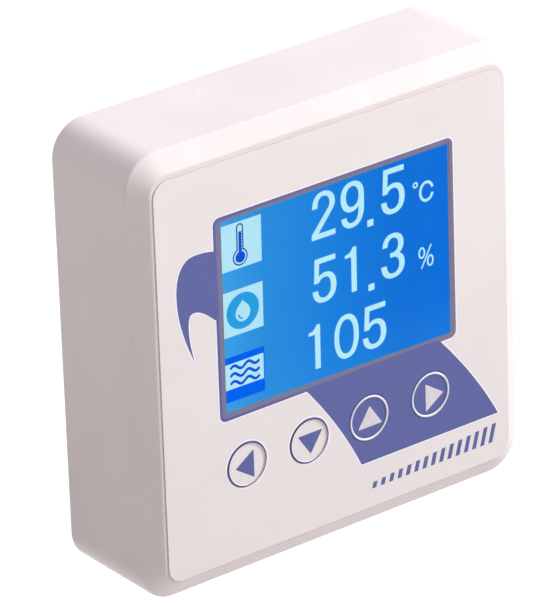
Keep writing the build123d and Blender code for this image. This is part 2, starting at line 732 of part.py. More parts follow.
# ---- rear cover and wall plate ----
def rear_cover():
    """Flat cover with a lip inside the shell, a wiring window and four arm slots."""
    half = INNER_HALF - COVER_PLAY
    corner = CORNER_R - WALL - COVER_PLAY
    cut = (COVER_SEAT - THROUGH, COVER_REAR + THROUGH)
    cover = slab(rounded(half, corner), COVER_SEAT, COVER_REAR)
    cover = chamfer(cover.faces().sort_by(Axis.Y)[-1].edges(), COVER_EDGE)
    cover = cover + cover_lip(half - LIP_GAP, corner - LIP_GAP)
    cover = cover - slab(Pos(0, WIRING_Z) * RectangleRounded(WIRING_W, WIRING_H, WIRING_R), *cut)
    for x, z in four_corners(COVER_SCREW):
        cover = cover - rod(COVER_HOLE_R, *cut, x, z)
        cover = cover - rod(SCREW_HEAD_R + HEAD_PLAY, COVER_REAR - COVER_SINK, COVER_REAR + THROUGH, x, z)
    for x, z in four_corners(ARM_X, ARM_Z):
        cover = cover - slab(Pos(x, z) * Rectangle(ARM_W + 2 * ARM_PLAY, ARM_T + 2 * ARM_PLAY), *cut)
    return cover


def cover_lip(half, corner):
    """Upright rim of the rear cover, broken at the screw posts."""
    front = COVER_SEAT - LIP_DEPTH
    outline = rounded(half, corner) - rounded(half - LIP_T, corner - LIP_T)
    lip = slab(outline, front, COVER_SEAT)
    for x, z in four_corners(COVER_SCREW):
        lip = lip - rod(POST_R + LIP_CLEAR, front - THROUGH, COVER_SEAT, x, z)
    return lip


def wall_plate():
    """Moulded plate screwed to the wall, with four spring arms that the housing clips on."""
    cut = (-PLATE_T - THROUGH, THROUGH)
    plate = slab(rounded(PLATE_HALF, PLATE_CORNER_R), -PLATE_T, 0)
    plate = chamfer(plate.faces().sort_by(Axis.Y)[0].edges(), PLATE_EDGE)
    plate = plate - slab(RectangleRounded(CABLE_HOLE_W, CABLE_HOLE_H, CABLE_HOLE_R), *cut)
    for side in (-1, 1):
        slot = Pos(side * BOX_SCREW_PITCH / 2, 0) * SlotOverall(SLOT_LENGTH, 2 * SLOT_R)
        plate = plate - slab(slot, *cut)
    for x, z in four_corners(WALL_SCREW_PITCH / 2):
        plate = plate - rod(WALL_SCREW_R, *cut, x, z)
    for x, z in four_corners(ARM_X, ARM_Z):
        arm = block(around(x, ARM_W), (ARM_TIP, -PLATE_T / 2), around(z, ARM_T))
        plate = plate + chamfer(arm.faces().sort_by(Axis.Y)[0].edges(), ARM_EDGE)
    mark = up_arrow()
    plate = plate - slab(mark, -ARROW_SINK, THROUGH)
    return plate - slab(mark, -PLATE_T - THROUGH, -PLATE_T + ARROW_SINK)


def up_arrow():
    foot, shoulder, point = ARROW_Z
    half = ARROW_W / 2
    head = Polygon((-half, shoulder), (half, shoulder), (0, point), align=None)
    return head + Pos(0, (foot + shoulder) / 2) * Rectangle(ARROW_STEM_W, shoulder - foot)


def cover_screws():
    screws = Part()
    for x, z in four_corners(COVER_SCREW):
        screws = screws + pan_screw(x, z, COVER_REAR - COVER_SINK, COVER_SCREW_LENGTH)
    return screws


def board_screws():
    screws = Part()
    for x, z in board_screw_places():
        screws = screws + pan_screw(x, z, BOARD_REAR, BOARD_SCREW_LENGTH)
    return screws


# ---- the whole set ----
MAKERS = (
    wall_plate, front_housing, graphic_overlay, display_window,
    lcd_frame, lcd_glass, lcd_backlight, lcd_pads, lcd_ribbon, ribbon_connector,
    main_board, board_screws, supply_capacitors, gas_sensor,
    terminal_block, terminal_clamps, terminal_screws,
    climate_board, climate_pins, humidity_sensor,
    dust_sensor_case, dust_sensor_lid, dust_sensor_board, laser_module, light_detector,
    fan_stator, fan_spindle, fan_rotor, duct_seal, sensor_tape, sensor_pad,
    rear_cover, cover_screws,
)
pieces = {make.__name__: make() for make in MAKERS}
for name, sizes in CHIPS.items():
    pieces[name] = chip(*sizes)
for name, place in KEY_X.items():
    pieces["key_" + name] = key(place)
    pieces["switch_body_" + name] = switch_body(place)
    pieces["switch_stem_" + name] = switch_stem(place)

os.makedirs("parts", exist_ok=True)
for name, piece in pieces.items():
    export_step(piece, f"parts/{name}.step")
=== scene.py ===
"""Air quality monitor: looks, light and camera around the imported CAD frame.

Lengths are in millimetres up to the moment a mesh is made, and angles in degrees. Flat shapes are
drawn in the plane of the front: the first number is X, to the right, and the second is Z, up.
"""
import json
import math

import bmesh
import bpy
from mathutils import Matrix, Vector
from mathutils.geometry import tessellate_polygon


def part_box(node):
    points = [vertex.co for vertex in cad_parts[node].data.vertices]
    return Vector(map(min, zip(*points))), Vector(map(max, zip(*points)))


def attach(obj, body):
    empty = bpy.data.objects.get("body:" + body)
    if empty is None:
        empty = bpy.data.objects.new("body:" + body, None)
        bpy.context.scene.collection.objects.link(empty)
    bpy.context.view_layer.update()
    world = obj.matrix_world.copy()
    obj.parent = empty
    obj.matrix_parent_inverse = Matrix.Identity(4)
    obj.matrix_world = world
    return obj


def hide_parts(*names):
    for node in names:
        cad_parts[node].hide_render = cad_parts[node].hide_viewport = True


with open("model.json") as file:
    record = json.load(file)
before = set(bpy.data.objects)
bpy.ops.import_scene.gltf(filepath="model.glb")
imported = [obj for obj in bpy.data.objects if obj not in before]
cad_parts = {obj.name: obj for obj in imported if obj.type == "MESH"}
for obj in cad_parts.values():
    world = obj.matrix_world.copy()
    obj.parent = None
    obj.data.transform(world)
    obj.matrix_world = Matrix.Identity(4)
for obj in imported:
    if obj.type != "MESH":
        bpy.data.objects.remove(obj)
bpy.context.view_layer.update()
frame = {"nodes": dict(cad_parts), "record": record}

MM = 0.001
NODES = frame["nodes"]
PALE_KEYS = ("left", "down")                 # on the bare sheet
PURPLE_KEYS = ("up", "right")                # on the slanted block

# ---- the print on the front sheet ----
INK = 0.03                   # thickness of a full printed layer
# thinner layers: where one overlaps another, the one that shows is the thicker
BORDER_INK = INK * 0.7
GAP_COVER_INK = INK * 0.4
UNDER_BLOCK_INK = INK * 0.4
UNDER_TAB_INK = INK * 0.35
UNDER_BORDER_INK = INK * 0.3
UNDERPRINT = 0.3             # white underprint beyond the coloured print
BORDER = (-37.0, 37.95, -15.75, 39.35)       # left, right, low and high of the display's border
# corners of what the border leaves clear, anticlockwise from the lower left
OPENING = ((-34.95, -13.45), (36.15, -14.2), (36.3, 37.9), (-34.6, 37.9))
BORDER_R = 1.9
BORDER_LINE = 0.8            # outer, darker line of the border: painted shade of the border's relief
BORDER_LIP = 0.5             # brown-grey line round the opening
BLOCK_FOOT = -41.7           # lower edge of the slanted block
MARK_COUNT = 15              # bars of the level scale
MARK_FIRST = 9.8             # left edge of the first bar
MARK_PITCH = 2.72
MARK_WIDTH = 1.3
MARK_BASE = -49.5            # lower edge of the bars
MARK_TALL = (1.7, 5.1)       # height of the first and the last bar
MARK_SLANT = 0.27

# ---- keys ----
KEY_RING_R = 6.15
KEY_RING_W = 0.65
KEY_RING_H = 0.35
KEY_GAP = 0.2                # key in its hole, all round
KEY_FLANGE_T = 0.7
KEY_HOLLOW_R = 5.0           # inside of the key's skirt
KEY_ROOF_T = 1.4
KEY_PLUNGER_R = 1.5
KEY_PLUNGER_END = 1.1        # the plunger ends this far in front of the flange's rear
KEY_FACE_MIDWAY = 3.0        # radius of an edge loop on the key's face
KEY_FACE_EDGE = KEY_RING_R - KEY_RING_W - 0.1                # radius where the face meets the ring
KEY_RING_FOOT = 0.5          # the ring's outside runs down to this far behind the face
RING_STEPS = 12              # facets over the top of a ring, from its inside to its outside
RING_INK_PALE = (5, 12)      # facets printed on the ring of a pale key: first, and one past the last
RING_INK_PURPLE = (2, 11)
GAP_COVER_W = 0.5                 # white print round the pale keys, reaching over the gap round each key: partly white print, partly painted light over the gap's shade
GAP_COVER_CLEARANCE = 0.03              # between that print and the key
ARROW_HALF = 3.85            # half of the arrow's base
ARROW_LENGTH = 5.75
ARROW_AHEAD = 0.7            # middle of the arrow, towards its point
ARROW_CORNER = 0.16
# the arrows are printed a little off the keys' middles
ARROW_SHIFT = {"left": (0.05, -0.45), "down": (0.45, -0.3), "up": (0.3, -0.35), "right": (0.75, -0.6)}

# ---- the picture on the display ----
PICTURE_MIDDLE = (1.36, 11.49)
PICTURE_TILT = -0.6          # the panel sits slightly askew in its tray
LAYER = 0.03                 # one step of stacking for the shapes of the picture
GLYPH_H = 12.2               # height at which the numerals are drawn
ROWS = ((12.35, 12.45), (-5.12, 12.2), (-22.6, 12.05))      # base and height of each row of numerals
POINT_SIDES = (9.6, 11.5)    # decimal points
POINT_HEIGHTS = (-1.3, 0.5)  # from the base of their row
DEGREE_MIDDLE = (24.95, 17.95)
DEGREE_R = 0.62
DEGREE_LINE = 0.45           # width of its line
UNIT_C_MIDDLE = (28.5, 15.35)
UNIT_C_HALF = (2.0, 2.48)    # half width and half height
UNIT_C_MOUTH = 17            # its mouth opens this many degrees up and down
UNIT_C_LINE = 0.75
PERCENT_SLASH = ((26.6, -5.4), (29.8, 0.55))
PERCENT_RINGS = ((26.75, -1.1), (29.45, -3.8))
PERCENT_RING_HALF = (0.85, 1.35)
PERCENT_LINE = 0.48
SLASH_LINE = 0.42
TILES = ((11.9, 24.3), (-5.7, 6.4), (-23.25, -11.15))       # low and high edges of each tile
TILE_SIDES = (-36.0, -23.4)
BULB = (-29.98, 14.85)       # middle of the thermometer's bulb
TUBE_TOP = 23.8
# (step down from that top, radius of the bulb, half width of the tube) of the thermometer's layers
THERMOMETER_EDGE = (0.0, 2.3, 1.08)
THERMOMETER_GLASS = (0.4, 1.9, 0.68)
THERMOMETER_LIQUID = (2.1, 1.5, 0.46)
TICK_COUNT = 7
TICK_FIRST = 16.9
TICK_PITCH = 0.78
TICK_SIDES = (0.5, 1.05)     # to the right of the tube's middle
TICK_HALF = 0.14
DISC_MIDDLE = (-29.65, 0.35)
DISC_HALF = (5.0, 4.8)
DROP_MIDDLE = (DISC_MIDDLE[0], DISC_MIDDLE[1] - 0.6)         # middle of the drop's round foot
DROP_R = 2.25
DROP_RISE = 3.5
GLINT_R = 1.4
GLINT_LINE = 0.45
BAND_MARGINS = (3.4, 1.8, 0.3)               # deep blue below, above and right of the waves' band
WAVE_SIDES = (-34.0, -25.0)
WAVE_STEPS = (-2.1, 0.0, 2.1)                # waves below, at and above the middle of the band
WAVE_HEIGHT = 0.6
WAVE_COUNT = 2
WAVE_LINE = 0.75

# ---- camera: a long lens, seen from the left and slightly above ----
CAMERA_ORIGIN = (0.0, -33.8, 0.0)            # middle of the front
CAMERA_AZIMUTH = -37.69      # round the housing, from straight in front
CAMERA_ELEVATION = 25.61
CAMERA_DISTANCE = 1423.8
CAMERA_ROLL = 1.98
CAMERA_LENS = 343.0
CAMERA_SENSOR = 36.0         # width of the sensor
CAMERA_CLIP = (0.1, 20.0)    # metres
CAMERA_AIM = (-19.6, 12.1)   # middle of the picture, on the front plane

# ---- light and floor; sizes and distances of lights and floor are in metres ----
LIGHT_DISTANCE = 2.0
KEY_LIGHT_FROM = (0.65, -0.445, 0.615)       # from the right, in front and above
KEY_LIGHT_SIZE = 0.8
KEY_LIGHT_POWER = 51.0
KEY_LIGHT_COLOUR = (1.0, 1.01, 1.02)
TOP_LIGHT_FROM = (-0.05, 0.1, 1.0)
TOP_LIGHT_SIZE = 1.2
TOP_LIGHT_POWER = 26.4
TOP_LIGHT_COLOUR = (0.98, 1.03, 1.09)
WORLD_LIGHT = 0.05
WORLD_COLOUR = (1.0, 0.99, 0.99, 1)
FLOOR_HALF = 4.0
FLOOR_DROP = 0.0001          # the floor lies this far under the housing
FLOOR_NEAR, FLOOR_FAR = 1.08, 2.0            # light of the floor close by and far away
FLOOR_GLOW = (300.0, 1200.0)                 # millimetres from the middle between which it changes

# ---- colours, as display values from 0 to 255 ----
PURPLE = (81, 87, 145)
# painted shade: the border's outer line, darker where its relief would lie in shade
BORDER_SHADE_PURPLE = (81, 84, 136)
# painted light: the border's paler band, lighter where its relief would catch the light
BORDER_LIT_PURPLE = (105, 105, 147)
BORDER_RIGHT = (112, 104, 132)
BROWN_GREY = (111, 106, 115)
WHITE_INK = (232, 226, 238)
PALE_INK = (203, 194, 201)   # arrows of the purple keys
RING_PURPLE = (66, 60, 108)
RING_PALE = (221, 218, 231)
SHEET_COLOUR = (216, 206, 206)
HOUSING_COLOUR = (215, 203, 202)
PLATE_COLOUR = (232, 227, 225)
NUMERAL_BLUE = (184, 236, 250)
TILE_BLUE = (183, 235, 250)
TILE_BLUE_SOFT = (174, 222, 246)
DEEP_BLUE = (0, 98, 240)
ICON_BLUE = (8, 84, 214)
ICON_LINE = (62, 92, 150)
DISC_BLUE = (38, 158, 222)
# the picture's blue ground from left to right, as (share of the width, colour)
GROUND_STOPS = ((0.0, (58, 160, 232)), (0.18, (40, 141, 220)), (0.5, (20, 126, 221)),
                (0.78, (7, 111, 215)), (1.0, (3, 110, 221)))
GROUND_LOW = (50, 150, 228)  # mixed in towards the lower edge
GROUND_LOW_SHARE = 0.22
GROUND_LOW_FROM = (27.0, 14.0)               # below the picture's middle: full, and gone
GROUND_GRAIN = (120, 190, 240)
GROUND_GRAIN_SHARE = 0.015


def node_box_mm(node):
    """Lowest and highest corner of a CAD node, in millimetres."""
    low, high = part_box(node)
    return low / MM, high / MM


def key_centre(name):
    low, high = node_box_mm("key_" + name)
    return ((low.x + high.x) / 2, (low.z + high.z) / 2)


SHEET_FACE = node_box_mm("graphic_overlay")[0].y
GLASS_FACE = node_box_mm("lcd_glass")[0].y
KEY_RING_TOP = node_box_mm("key_left")[0].y
KEY_FACE = KEY_RING_TOP + KEY_RING_H


def linear(colour):
    """Scene-linear RGB of a display colour."""
    parts = []
    for value in colour:
        share = value / 255
        parts.append(share / 12.92 if share <= 0.04045 else ((share + 0.055) / 1.055) ** 2.4)
    return tuple(parts)


def shade(colour, factor):
    """The scene-linear colour, darker or lighter."""
    return tuple(min(1.0, c * factor) for c in colour)


# =====================================================================================
# flat outlines
# =====================================================================================
def arc(cx, cz, rx, rz, start, end, steps=24):
    """Points of an elliptical arc; angles run anticlockwise from +X."""
    points = []
    for i in range(steps + 1):
        angle = math.radians(start + (end - start) * i / steps)
        points.append((cx + rx * math.cos(angle), cz + rz * math.sin(angle)))
    return points


def oval(cx, cz, rx, rz, squareness=2.0, steps=64):
    """Closed oval; a squareness over 2 fills out its corners."""
    points = []
    for i in range(steps):
        angle = 2 * math.pi * i / steps
        c, s = math.cos(angle), math.sin(angle)
        x = math.copysign(abs(c) ** (2 / squareness), c)
        z = math.copysign(abs(s) ** (2 / squareness), s)
        points.append((cx + rx * x, cz + rz * z))
    return points


def curve(start, handle_a, handle_b, end, steps=14):
    """Points of a cubic curve, without its first one."""
    points = []
    for i in range(1, steps + 1):
        t = i / steps
        weights = ((1 - t) ** 3, 3 * t * (1 - t) ** 2, 3 * t * t * (1 - t), t ** 3)
        corners = (start, handle_a, handle_b, end)
        points.append(tuple(sum(w * p[k] for w, p in zip(weights, corners)) for k in (0, 1)))
    return points


def drawn(start, *steps):
    """Outline from a start; a step is the end of a line, or two handles and the end of a curve."""
    points = [start]
    for step in steps:
        if isinstance(step[0], tuple):
            points += curve(points[-1], *step)
        else:
            points.append(step)
    if math.dist(points[0], points[-1]) < 0.001:
        points.pop()
    return points


def box(left, right, low, high):
    """Corners of an upright box."""
    return [(left, low), (right, low), (right, high), (left, high)]


def rounded_box(left, right, low, high, radius, steps=8):
    """Outline of an upright box with round corners."""
    points = []
    corners = ((right, high, 0), (left, high, 90), (left, low, 180), (right, low, 270))
    for x, z, turn in corners:
        cx = x - radius if x == right else x + radius
        cz = z - radius if z == high else z + radius
        points += arc(cx, cz, radius, radius, turn, turn + 90, steps)
    return points


def side_offsets(path, amount, closed):
    """For each point of a path, the step to a line `amount` to its left, with mitred corners."""
    count = len(path)
    offsets = []
    for i, (x, z) in enumerate(path):
        before = path[i - 1] if (i > 0 or closed) else path[i]
        after = path[(i + 1) % count] if (i < count - 1 or closed) else path[i]
        normals = []
        for (ax, az), (bx, bz) in ((before, (x, z)), ((x, z), after)):
            length = math.hypot(bx - ax, bz - az)
            if length > 1e-9:
                normals.append((-(bz - az) / length, (bx - ax) / length))
        nx = sum(n[0] for n in normals)
        nz = sum(n[1] for n in normals)
        size = math.hypot(nx, nz)
        nx, nz = nx / size, nz / size
        reach = amount / max(0.5, nx * normals[0][0] + nz * normals[0][1])
        offsets.append((nx * reach, nz * reach))
    return offsets


def ribbon(path, width, closed=False):
    """Outline and holes of a stroke of constant width along a path."""
    offsets = side_offsets(path, width / 2, closed)
    left_side = [(x + a, z + b) for (x, z), (a, b) in zip(path, offsets)]
    right_side = [(x - a, z - b) for (x, z), (a, b) in zip(path, offsets)]
    if closed:
        return left_side, [right_side]
    return left_side + right_side[::-1], []


def grown(outline, amount):
    """The outline moved outwards all round."""
    turn = sum(ax * bz - bx * az for (ax, az), (bx, bz) in zip(outline, outline[1:] + outline[:1]))
    outward = -amount if turn > 0 else amount
    return [(x + a, z + b) for (x, z), (a, b) in zip(outline, side_offsets(outline, outward, True))]


def towards(angle):
    """Step of length 1 in the direction of an angle."""
    return math.cos(math.radians(angle)), math.sin(math.radians(angle))


# =====================================================================================
# meshes
# =====================================================================================
def add_object(name, vertices, faces, materials, body, face_materials=None, smooth=False):
    """Closed mesh from millimetre vertices, riding on a CAD body, with its faces turned outwards."""
    mesh = bpy.data.meshes.new(name)
    mesh.from_pydata([(x * MM, y * MM, z * MM) for x, y, z in vertices], [], faces)
    for material in materials:
        mesh.materials.append(material)
    for face, index in zip(mesh.polygons, face_materials or ()):
        face.material_index = index
    work = bmesh.new()
    work.from_mesh(mesh)
    bmesh.ops.recalc_face_normals(work, faces=work.faces)
    work.to_mesh(mesh)
    work.free()
    if smooth:
        mesh.shade_smooth()
    piece = bpy.data.objects.new(name, mesh)
    bpy.context.scene.collection.objects.link(piece)
    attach(piece, body)
    return piece


def plate(name, shapes, front, rear, material, body):
    """Thin flat-sided solid from one or more (outline, holes) pairs, between two depths."""
    vertices, faces = [], []
    for outline, holes in shapes:
        loops = [outline, *holes]
        points = [point for loop in loops for point in loop]
        triangles = tessellate_polygon([[Vector((x, z, 0)) for x, z in loop] for loop in loops])
        base, count = len(vertices), len(points)
        vertices += [(x, front, z) for x, z in points]
        vertices += [(x, rear, z) for x, z in points]
        for triangle in triangles:
            faces.append([base + i for i in triangle])
            faces.append([base + count + i for i in triangle])
        start = base
        for loop in loops:
            for i in range(len(loop)):
                a, b = start + i, start + (i + 1) % len(loop)
                faces.append([a, b, b + count, a + count])
            start += len(loop)
    return add_object(name, vertices, faces, [material], body)


def revolve(name, profile, centre, materials, body, steps=96):
    """Round solid about a line along the depth.

    The profile runs from the middle of the front to the middle of the rear. Each point is its radius,
    its depth, and the index of the material on the face that leads to it.
    """
    rings = profile[1:-1]
    vertices = [(centre[0], profile[0][1], centre[1])]
    for radius, depth, _ in rings:
        vertices += [(x, depth, z) for x, z in oval(*centre, radius, radius, steps=steps)]
    vertices.append((centre[0], profile[-1][1], centre[1]))
    faces, looks = [], []
    for i in range(steps):
        j = (i + 1) % steps
        faces.append((0, 1 + i, 1 + j))
        looks.append(rings[0][2])
        for r in range(len(rings) - 1):
            a = 1 + r * steps
            b = a + steps
            faces.append((a + i, b + i, b + j, a + j))
            looks.append(rings[r + 1][2])
        last = 1 + (len(rings) - 1) * steps
        faces.append((last + i, len(vertices) - 1, last + j))
        looks.append(profile[-1][2])
    return add_object(name, vertices, faces, materials, body, looks, smooth=True)


# =====================================================================================
# materials
# =====================================================================================
class Shader:
    """A material with short calls for the nodes used here; textures follow the object, in millimetres."""

    def __init__(self, name, colour, roughness, **sockets):
        self.material = bpy.data.materials.new(name)
        self.material.use_nodes = True
        self.tree = self.material.node_tree
        self.surface = self.tree.nodes["Principled BSDF"]
        self.set("Base Color", (*colour, 1))
        self.set("Roughness", roughness)
        for socket, value in sockets.items():
            self.set(socket.replace("_", " "), value)
        place = self.tree.nodes.new("ShaderNodeTexCoord")
        scale = self.add("ShaderNodeMapping")
        scale.inputs["Scale"].default_value = (1 / MM,) * 3
        self.join(place.outputs["Object"], scale.inputs["Vector"])
        self.place = scale.outputs["Vector"]
        self.bump_out = None

    def add(self, kind):
        return self.tree.nodes.new(kind)

    def join(self, output, socket):
        self.tree.links.new(output, socket)

    def set(self, socket, value):
        self.surface.inputs[socket].default_value = value

    def stretched(self, scale):
        """The place scaled along each axis: a small number draws a texture out that way."""
        mapping = self.add("ShaderNodeMapping")
        mapping.inputs["Scale"].default_value = scale
        self.join(self.place, mapping.inputs["Vector"])
        return mapping.outputs["Vector"]

    def along(self, axis):
        """The place along one axis, in millimetres."""
        split = self.add("ShaderNodeSeparateXYZ")
        self.join(self.place, split.inputs[0])
        return split.outputs[axis]

    def noise(self, size, detail=3.0, stretch=None):
        """Soft noise whose blotches are about `size` millimetres."""
        node = self.add("ShaderNodeTexNoise")
        node.inputs["Scale"].default_value = 1 / size
        node.inputs["Detail"].default_value = detail
        self.join(self.stretched(stretch) if stretch else self.place, node.inputs["Vector"])
        return node.outputs["Fac"]

    def cells(self, size):
        """Distance from the middle of cells about `size` millimetres across."""
        node = self.add("ShaderNodeTexVoronoi")
        node.inputs["Scale"].default_value = 1 / size
        self.join(self.place, node.inputs["Vector"])
        return node.outputs["Distance"]

    def between(self, value, low, high, low_in=0.3, high_in=0.7):
        """The value, changed so that low_in gives low and high_in gives high, held at both ends."""
        node = self.add("ShaderNodeMapRange")
        node.inputs["From Min"].default_value = low_in
        node.inputs["From Max"].default_value = high_in
        node.inputs["To Min"].default_value = low
        node.inputs["To Max"].default_value = high
        self.join(value, node.inputs["Value"])
        return node.outputs["Result"]

    def ramp(self, value, stops):
        """Colour that follows a value through (place, colour) stops."""
        node = self.add("ShaderNodeValToRGB")
        steps = node.color_ramp.elements
        steps[0].color = (*stops[0][1], 1)
        steps[1].color = (*stops[-1][1], 1)
        for place, colour in stops[1:-1]:
            steps.new(place).color = (*colour, 1)
        self.join(value, node.inputs["Fac"])
        return node.outputs["Color"]

    def mixed(self, value, colour_a, colour_b):
        """Colour from a, at a value of 0, to b, at 1. Sockets 6 and 7 and output 2 are the colour ones."""
        node = self.add("ShaderNodeMix")
        node.data_type = "RGBA"
        for socket, colour in ((6, colour_a), (7, colour_b)):
            if isinstance(colour, tuple):
                node.inputs[socket].default_value = (*colour, 1)
            else:
                self.join(colour, node.inputs[socket])
        self.join(value, node.inputs[0])
        return node.outputs[2]

    def colour_by(self, value, colour_a, colour_b):
        self.join(self.mixed(value, colour_a, colour_b), self.surface.inputs["Base Color"])

    def rough_by(self, value, low, high):
        self.join(self.between(value, low, high), self.surface.inputs["Roughness"])

    def bump(self, value, height, strength=1.0):
        """Relief of the given height in millimetres; later calls add to earlier ones."""
        node = self.add("ShaderNodeBump")
        node.inputs["Distance"].default_value = height * MM
        node.inputs["Strength"].default_value = strength
        self.join(value, node.inputs["Height"])
        if self.bump_out is not None:
            self.join(self.bump_out, node.inputs["Normal"])
        self.bump_out = node.outputs["Normal"]
        self.join(self.bump_out, self.surface.inputs["Normal"])


def moulded(name, colour, roughness=0.45, grain=0.22, relief=0.006, variation=0.03, **sockets):
    """Moulded plastic: fine spark-eroded grain, faint flow marks and a few small, dull scuffs."""
    s = Shader(name, colour, roughness, **sockets)
    flow = s.noise(26.0, 2.0, stretch=(1.0, 1.0, 0.55))
    tint = s.mixed(s.between(flow, 0.0, 1.0), shade(colour, 1 - variation), shade(colour, 1 + variation))
    marks = s.between(s.noise(2.4, 6.0), 0.0, 1.0, 0.66, 0.74)
    s.colour_by(marks, tint, shade(colour, 0.95))
    s.rough_by(s.noise(5.0, 4.0), roughness - 0.05, roughness + 0.06)
    s.bump(marks, -0.01)
    s.bump(s.noise(grain, 2.0), relief)
    s.bump(s.noise(9.0, 2.0), 0.02, 0.5)
    return s.material


def printed(name, colour, colour_right=None):
    """Screen-printed ink, slightly uneven in its cover and gloss; it may fade across the border."""
    s = Shader(name, colour, 0.42, Specular_IOR_Level=0.3)
    cover = s.noise(1.4, 5.0)
    if colour_right is not None:
        across = s.between(s.along("X"), 0.0, 1.0, BORDER[0], BORDER[1])
        even = s.mixed(across, colour, colour_right)
        s.colour_by(s.between(cover, 0.0, 0.12), even, shade(colour, 0.8))
    else:
        s.colour_by(s.between(cover, 0.0, 1.0), shade(colour, 0.95), shade(colour, 1.05))
    s.rough_by(s.noise(0.5, 2.0), 0.38, 0.48)
    s.bump(s.noise(0.3, 2.0), 0.003)
    return s.material


def film(name, colour):
    """Velvet-textured polycarbonate sheet."""
    s = Shader(name, colour, 0.42, Specular_IOR_Level=0.4)
    tint = s.noise(34.0, 2.0)
    s.colour_by(s.between(tint, 0.0, 1.0), shade(colour, 0.98), shade(colour, 1.02))
    s.rough_by(s.noise(2.2, 3.0), 0.38, 0.48)
    s.bump(s.noise(0.18, 2.0), 0.004)
    return s.material


def lit(name, colour, colour_b=None):
    """Part of the display's picture: soft blotches of one or two colours, and the panel's faint columns."""
    s = Shader(name, (0.0, 0.0, 0.0), 0.6, Specular_IOR_Level=0.0, Emission_Strength=1.0)
    columns = s.noise(0.55, 2.0, stretch=(1.0, 1.0, 0.05))
    blotched = s.mixed(s.between(s.noise(9.0, 2.0), 0.0, 1.0), colour, colour_b or shade(colour, 1.06))
    lined = s.mixed(s.between(columns, 0.0, 1.0), blotched, shade(colour, 0.97))
    s.join(lined, s.surface.inputs["Emission Color"])
    return s.material


def picture_ground(name):
    """The display's blue ground: paler towards the left and along the lower edge."""
    s = Shader(name, (0.0, 0.0, 0.0), 0.6, Specular_IOR_Level=0.0, Emission_Strength=1.0)
    across = s.between(s.along("X"), 0.0, 1.0, OPENING[0][0], OPENING[1][0])
    ground = s.ramp(across, [(place, linear(colour)) for place, colour in GROUND_STOPS])
    full, gone = [PICTURE_MIDDLE[1] - below for below in GROUND_LOW_FROM]
    low_edge = s.between(s.along("Z"), GROUND_LOW_SHARE, 0.0, full, gone)
    paler = s.mixed(low_edge, ground, linear(GROUND_LOW))
    columns = s.noise(0.6, 3.0, stretch=(1.0, 1.0, 0.03))
    grained = s.mixed(s.between(columns, 0.0, GROUND_GRAIN_SHARE), paler, linear(GROUND_GRAIN))
    s.join(grained, s.surface.inputs["Emission Color"])
    return s.material


def clear_sheet(name):
    """Clear window with an anti-glare face, so that it hardly reflects."""
    s = Shader(name, (0.97, 0.985, 1.0), 0.04, Transmission_Weight=1.0, IOR=1.06)
    s.bump(s.noise(14.0, 1.0), 0.001, 0.3)
    return s.material


def metal(name, colour, roughness, stretch=(1.0, 1.0, 12.0)):
    """Metal with fine drawn or brushed lines and slight tarnish."""
    s = Shader(name, colour, roughness, Metallic=1.0)
    tarnish = s.noise(3.0, 4.0)
    s.colour_by(s.between(tarnish, 0.0, 1.0), shade(colour, 0.86), shade(colour, 1.04))
    lines = s.noise(0.25, 3.0, stretch=stretch)
    s.rough_by(lines, max(0.05, roughness - 0.1), roughness + 0.12)
    s.bump(lines, 0.003)
    return s.material


def foam(name, colour):
    """Open-cell foam, its pores darkened as painted shade."""
    s = Shader(name, colour, 0.9, Specular_IOR_Level=0.2)
    pores = s.cells(0.55)
    # painted shade: darker in the hollow middle of each pore, paler on the cell walls
    s.colour_by(s.between(pores, 0.0, 1.0, 0.1, 0.7), shade(colour, 0.5), shade(colour, 1.3))
    s.bump(pores, 0.2)
    return s.material


def circuit_board(name):
    """Solder mask over tracks: straight runs of slightly raised, paler green, and a ground fill."""
    green, track = (0.012, 0.11, 0.045), (0.03, 0.2, 0.08)
    s = Shader(name, green, 0.3)
    bricks = s.add("ShaderNodeTexBrick")
    bricks.inputs["Scale"].default_value = 0.35
    bricks.inputs["Mortar Size"].default_value = 0.06
    bricks.inputs["Mortar Smooth"].default_value = 0.1
    turned = s.add("ShaderNodeMapping")
    turned.inputs["Rotation"].default_value = (math.radians(90), 0, 0)
    s.join(s.place, turned.inputs["Vector"])
    s.join(turned.outputs["Vector"], bricks.inputs["Vector"])
    blotch = s.between(s.noise(7.0, 2.0), 0.0, 1.0, 0.45, 0.55)
    seen = s.add("ShaderNodeMath")
    seen.operation = "MULTIPLY"
    s.join(bricks.outputs["Fac"], seen.inputs[0])
    s.join(blotch, seen.inputs[1])
    s.colour_by(seen.outputs[0], green, track)
    s.rough_by(s.noise(1.5, 3.0), 0.25, 0.4)
    s.bump(seen.outputs[0], 0.03)
    return s.material


def flat_cable(name):
    """Amber film over copper lines."""
    s = Shader(name, (0.6, 0.26, 0.04), 0.35)
    wave = s.add("ShaderNodeTexWave")
    wave.bands_direction = "X"
    wave.inputs["Scale"].default_value = 0.32
    s.join(s.place, wave.inputs["Vector"])
    s.colour_by(s.between(wave.outputs["Fac"], 0.0, 1.0, 0.4, 0.6), (0.62, 0.25, 0.03), (0.42, 0.16, 0.02))
    s.rough_by(s.noise(2.0, 3.0), 0.28, 0.42)
    s.bump(wave.outputs["Fac"], 0.01)
    return s.material


